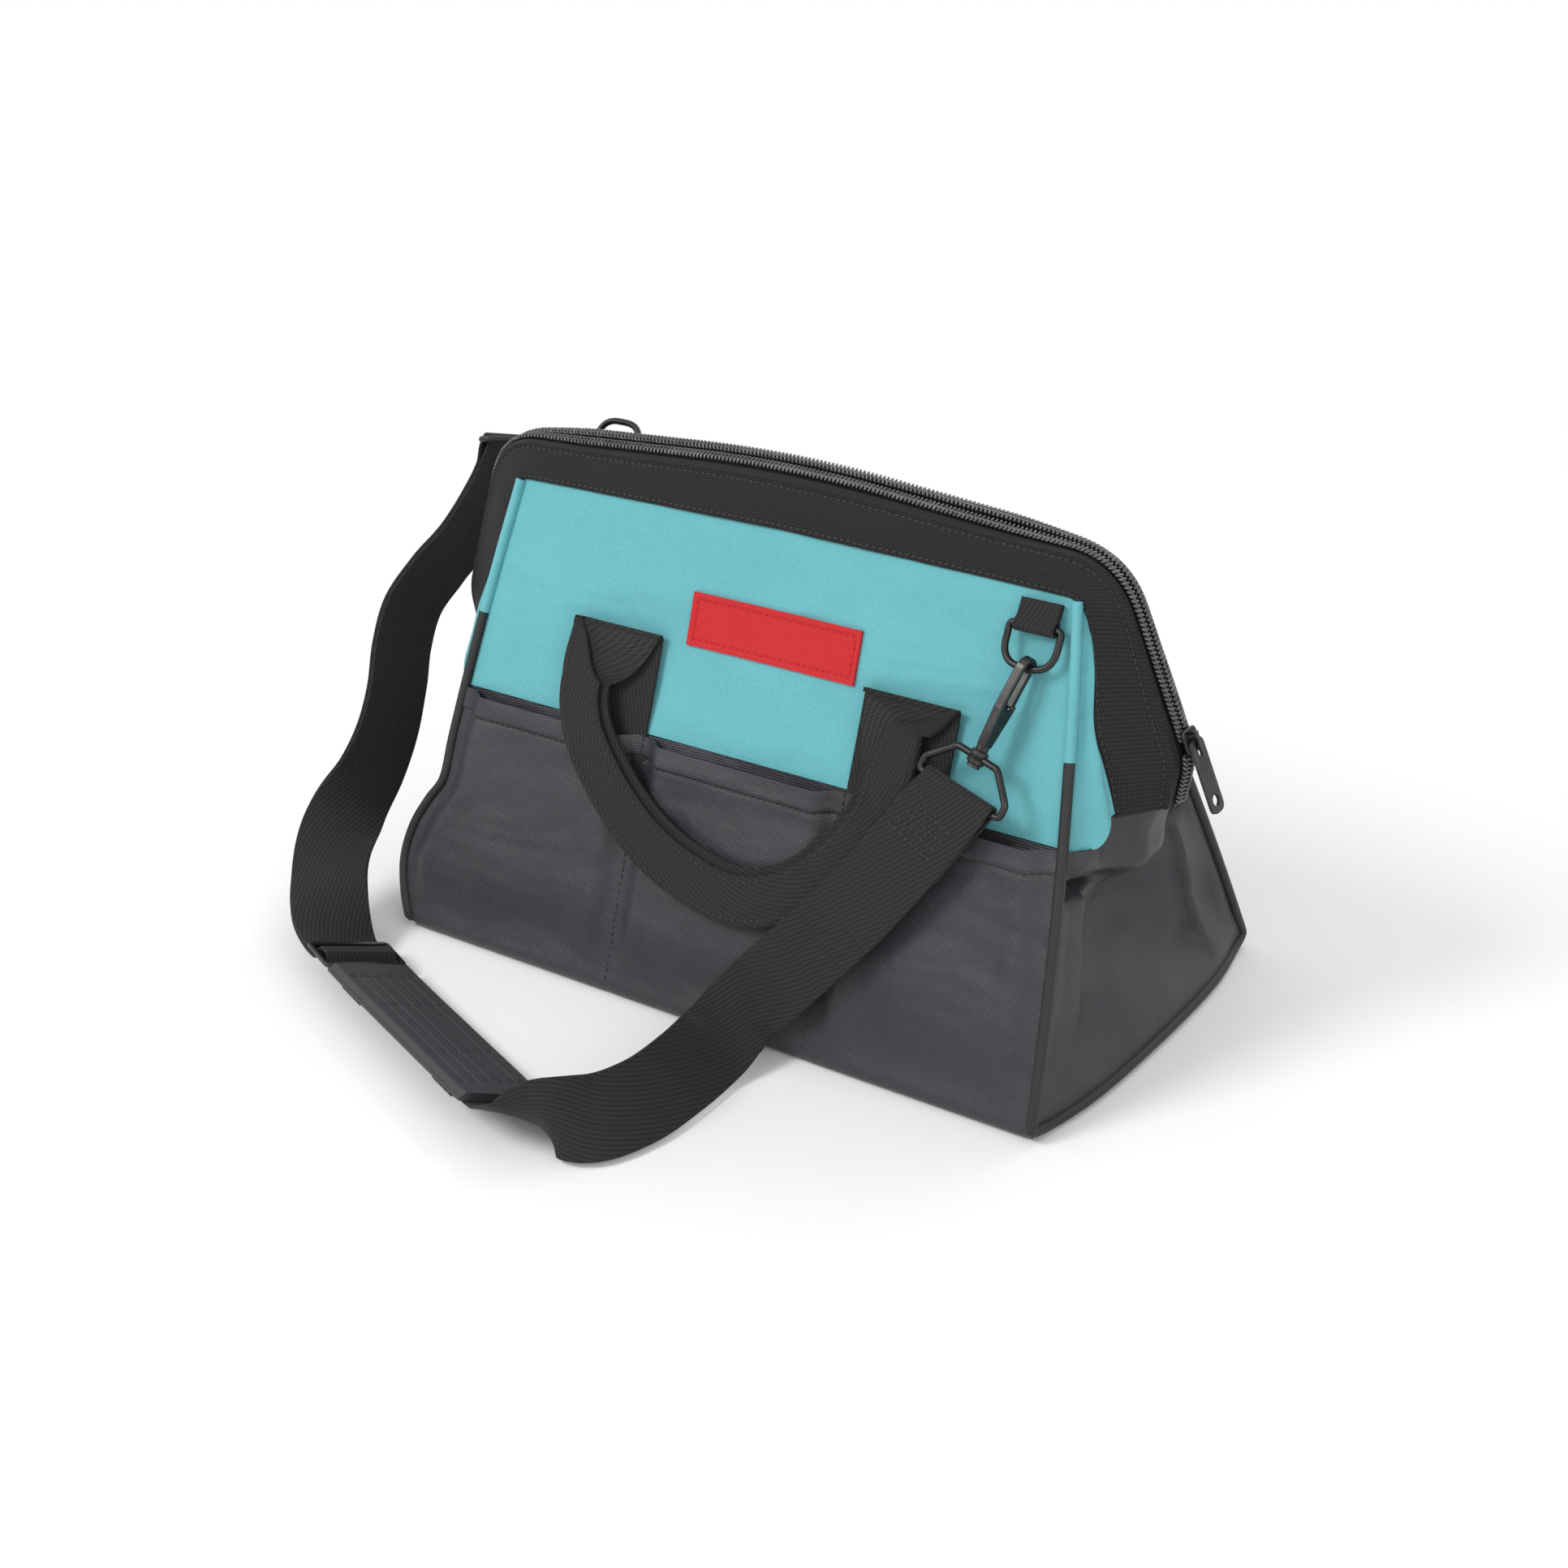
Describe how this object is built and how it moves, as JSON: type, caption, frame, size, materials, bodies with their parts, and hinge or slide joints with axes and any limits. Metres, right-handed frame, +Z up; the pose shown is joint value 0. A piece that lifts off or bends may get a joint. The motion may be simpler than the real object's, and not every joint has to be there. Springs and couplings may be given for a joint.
{
  "type": "zippered tool bag",
  "caption": "Soft wide-mouth tool bag with outside pockets, arched zip mouth on hinged frames, two carry handles and a hooked-on padded shoulder strap.",
  "frame": {"origin": "centre of the base, on the floor", "axes": "+X to the right along the bag, +Y to the back, +Z up"},
  "size_m": [0.4541, 0.32, 0.2447],
  "materials": {
    "coated_cloth": "dark grey coated cloth with a fine woven relief",
    "canvas": "pale teal woven canvas",
    "webbing": "black woven webbing",
    "piping": "black covered cord",
    "zip_tape": "black woven zip tape",
    "zip_coil": "dark grey coil teeth with a soft shine",
    "hardware": "black gunmetal coating, smooth, a little worn on the edges",
    "steel": "bare spring steel",
    "board": "black stiffening board",
    "pad": "dark grey moulded pad with lengthwise ribs",
    "patch": "red woven patch, bare"
  },
  "bodies": {
    "bag": {"front_pocket_panel": "coated_cloth", "front_lower_wall": "coated_cloth", "front_canvas": "canvas", "back_pocket_panel": "coated_cloth", "back_lower_wall": "coated_cloth", "back_canvas": "canvas", "right_end_panel": "coated_cloth", "left_end_panel": "coated_cloth", "right_end_fold": "coated_cloth", "left_end_fold": "coated_cloth", "front_right_gusset": "canvas", "back_right_gusset": "canvas", "front_left_gusset": "canvas", "back_left_gusset": "canvas", "right_piping": "piping", "left_piping": "piping", "bottom_panel": "coated_cloth", "bottom_board": "board", "patch": "patch", "right_frame_rivet": "steel", "left_frame_rivet": "steel", "shoulder_strap": "webbing"},
    "front_mouth": {"front_band": "webbing", "front_zip_tape": "zip_tape", "front_zip_coil": "zip_coil", "front_frame": "steel"},
    "back_mouth": {"back_band": "webbing", "back_zip_tape": "zip_tape", "back_zip_coil": "zip_coil", "back_frame": "steel"},
    "slider": {"slider": "hardware"},
    "pull_tab": {"pull_tab": "hardware"},
    "shoulder_pad": {"shoulder_pad": "pad", "right_pad_keeper": "webbing", "left_pad_keeper": "webbing"},
    "tri_glide": {"tri_glide": "hardware"},
    "front_ring_loop": {"front_ring_loop": "webbing"},
    "front_d_ring": {"front_d_ring": "hardware"},
    "front_snap_hook": {"front_snap_hook": "hardware"},
    "front_hook_gate": {"front_hook_gate": "hardware"},
    "front_swivel_ring": {"front_swivel_ring": "hardware"},
    "front_handle_mount": {"front_handle_left_root": "webbing", "front_handle_right_root": "webbing"},
    "front_handle": {"front_handle_grip": "webbing"},
    "back_ring_loop": {"back_ring_loop": "webbing"},
    "back_d_ring": {"back_d_ring": "hardware"},
    "back_snap_hook": {"back_snap_hook": "hardware"},
    "back_hook_gate": {"back_hook_gate": "hardware"},
    "back_swivel_ring": {"back_swivel_ring": "hardware"},
    "back_handle_mount": {"back_handle_left_root": "webbing", "back_handle_right_root": "webbing"},
    "back_handle": {"back_handle_grip": "webbing"}
  },
  "joints": [
    {"name": "front_mouth_hinge", "type": "hinge", "parent": "bag", "child": "front_mouth", "pos_m": [0, 0, 0.118], "axis": [1, 0, 0], "range_deg": [0, 40], "deforming": ["front_canvas", "front_right_gusset", "front_left_gusset", "right_end_fold", "left_end_fold", "right_piping", "left_piping", "shoulder_strap", "patch"]},
    {"name": "front_loop_flex", "type": "hinge", "parent": "front_mouth", "child": "front_ring_loop", "pos_m": [0.138, -0.0136, 0.21032], "axis": [-1, 0, 0], "range_deg": [0, 40], "deforming": ["shoulder_strap"]},
    {"name": "front_ring_swing", "type": "hinge", "parent": "front_ring_loop", "child": "front_d_ring", "pos_m": [0.138, -0.0194, 0.20157], "axis": [-1, 0, 0], "range_deg": [0, 90], "deforming": ["shoulder_strap"]},
    {"name": "front_hook_swing", "type": "hinge", "parent": "front_d_ring", "child": "front_snap_hook", "pos_m": [0.138, -0.02829, 0.18592], "axis": [-0.9619, 0.1363, 0.2369], "range_deg": [0, 45], "deforming": ["shoulder_strap"]},
    {"name": "front_gate_press", "type": "hinge", "parent": "front_snap_hook", "child": "front_hook_gate", "pos_m": [0.13319, -0.03301, 0.1691], "axis": [0.9619, -0.1363, -0.2369], "range_deg": [0, 18], "stiffness_Nm_per_rad": 0.002, "springref_deg": -34.38},
    {"name": "front_ring_swivel", "type": "hinge", "parent": "front_snap_hook", "child": "front_swivel_ring", "pos_m": [0.12629, -0.04885, 0.1502], "axis": [-0.2733, -0.4798, -0.8337], "range_deg": [-12, 12], "deforming": ["shoulder_strap"]},
    {"name": "front_handle_shift", "type": "slide", "parent": "bag", "child": "front_handle_mount", "axis": [0, -1, 0], "range_m": [0, 0.014]},
    {"name": "front_handle_lift", "type": "hinge", "parent": "front_handle_mount", "child": "front_handle", "pos_m": [0, -0.03348, 0.16181], "axis": [-1, 0, 0], "range_deg": [0, 150], "deforming": ["shoulder_strap"]},
    {"name": "back_mouth_hinge", "type": "hinge", "parent": "bag", "child": "back_mouth", "pos_m": [0, 0, 0.118], "axis": [-1, 0, 0], "range_deg": [0, 40], "deforming": ["back_canvas", "back_right_gusset", "back_left_gusset", "right_end_fold", "left_end_fold", "right_piping", "left_piping", "shoulder_strap"]},
    {"name": "back_loop_flex", "type": "hinge", "parent": "back_mouth", "child": "back_ring_loop", "pos_m": [-0.128, 0.01622, 0.21348], "axis": [1, 0, 0], "range_deg": [0, 40], "deforming": ["shoulder_strap"]},
    {"name": "back_ring_swing", "type": "hinge", "parent": "back_ring_loop", "child": "back_d_ring", "pos_m": [-0.128, 0.0265, 0.2156], "axis": [-1, 0, 0], "range_deg": [-20, 75], "deforming": ["shoulder_strap"]},
    {"name": "back_hook_swing", "type": "hinge", "parent": "back_d_ring", "child": "back_snap_hook", "pos_m": [-0.1406, 0.03021, 0.22094], "axis": [-0.1055, 0.585, 0.8042], "range_deg": [-25, 25], "deforming": ["shoulder_strap"]},
    {"name": "back_gate_press", "type": "hinge", "parent": "back_snap_hook", "child": "back_hook_gate", "pos_m": [-0.1586, 0.02852, 0.21981], "axis": [-0.1055, 0.585, 0.8042], "range_deg": [0, 18], "stiffness_Nm_per_rad": 0.002, "springref_deg": -34.38},
    {"name": "back_ring_swivel", "type": "hinge", "parent": "back_snap_hook", "child": "back_swivel_ring", "pos_m": [-0.18235, 0.03451, 0.21233], "axis": [-0.9744, 0.1005, -0.2009], "range_deg": [-40, 40], "deforming": ["shoulder_strap"]},
    {"name": "back_handle_shift", "type": "slide", "parent": "bag", "child": "back_handle_mount", "axis": [0, 1, 0], "range_m": [0, 0.014]},
    {"name": "back_handle_lift", "type": "hinge", "parent": "back_handle_mount", "child": "back_handle", "pos_m": [0, 0.03348, 0.16181], "axis": [1, 0, 0], "range_deg": [0, 150], "deforming": ["shoulder_strap"]},
    {"name": "slider_travel", "type": "slide", "parent": "front_mouth", "child": "slider", "axis": [-0.3509, 0, 0.9364], "range_m": [0, 0.02], "deforming": ["front_zip_coil", "back_zip_coil"]},
    {"name": "tab_swing", "type": "hinge", "parent": "slider", "child": "pull_tab", "pos_m": [0.20279, 0, 0.1558], "axis": [0, -1, 0], "range_deg": [0, 150]},
    {"name": "pad_slide", "type": "slide", "parent": "bag", "child": "shoulder_pad", "axis": [0.9321, -0.3622, -0.0017], "range_m": [0, 0.012], "deforming": ["shoulder_strap"]},
    {"name": "glide_slide", "type": "slide", "parent": "bag", "child": "tri_glide", "axis": [-0.9276, 0.3627, 0.0895], "range_m": [0, 0.01], "deforming": ["shoulder_strap"]}
  ],
  "couplings": [
    {"joint": "front_loop_flex", "follows": "front_mouth_hinge", "ratio": 1},
    {"joint": "front_handle_shift", "follows": "front_mouth_hinge", "m_per_rad": 0.02004},
    {"joint": "back_loop_flex", "follows": "back_mouth_hinge", "ratio": 1},
    {"joint": "back_handle_shift", "follows": "back_mouth_hinge", "m_per_rad": 0.02004}
  ]
}
